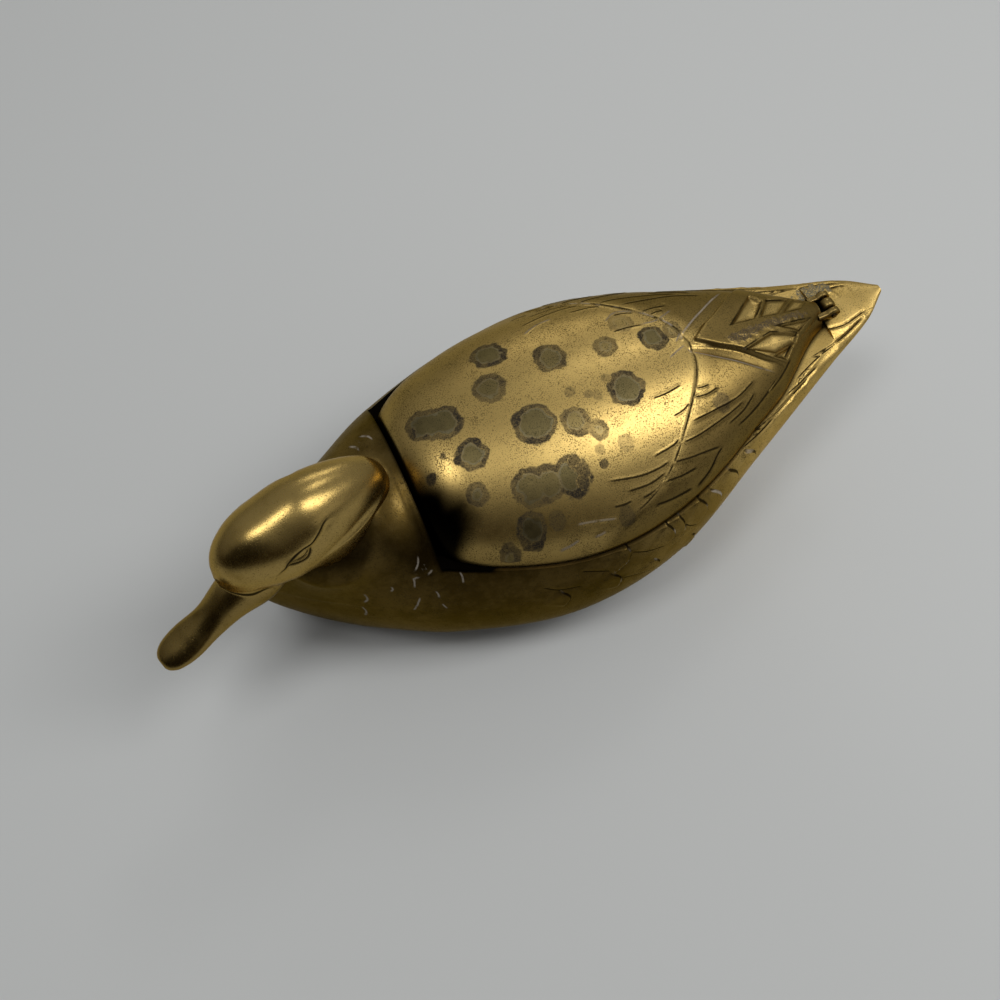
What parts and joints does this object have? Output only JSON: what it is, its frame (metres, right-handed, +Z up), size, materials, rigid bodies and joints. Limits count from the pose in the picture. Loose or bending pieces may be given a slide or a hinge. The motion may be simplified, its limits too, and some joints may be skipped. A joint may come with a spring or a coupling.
{
  "type": "duck trinket box",
  "caption": "Hollow cast brass duck with its head turned aside, whose domed back with folded wings is a lid hinged on the tail.",
  "frame": {"origin": "middle of the duck's box at its base, on the surface that it stands on", "axes": "+Z up, -X towards the bill, +X towards the tail tip, -Y towards the duck's left flank"},
  "size_m": [0.2375, 0.0932, 0.0844],
  "materials": {
    "body_brass": "aged cast brass, brown in the hollows, with pale residue in its grooves",
    "head_brass": "aged brass with a worn polish",
    "lid_brass": "satin aged brass with dark ringed tarnish spots",
    "hinge_brass": "dull brass under a grey-green solder crust"
  },
  "bodies": {
    "duck_body": {"body_shell": "body_brass", "head": "head_brass", "hinge_lug": "hinge_brass"},
    "duck_lid": {"lid": "lid_brass", "left_hinge_ear": "hinge_brass", "right_hinge_ear": "hinge_brass", "hinge_pin": "hinge_brass"}
  },
  "joints": [
    {"name": "lid_hinge", "type": "hinge", "parent": "duck_body", "child": "duck_lid", "pos_m": [0.0987, 0, 0.05633], "axis": [0, 1, 0], "range_deg": [0, 95]}
  ]
}
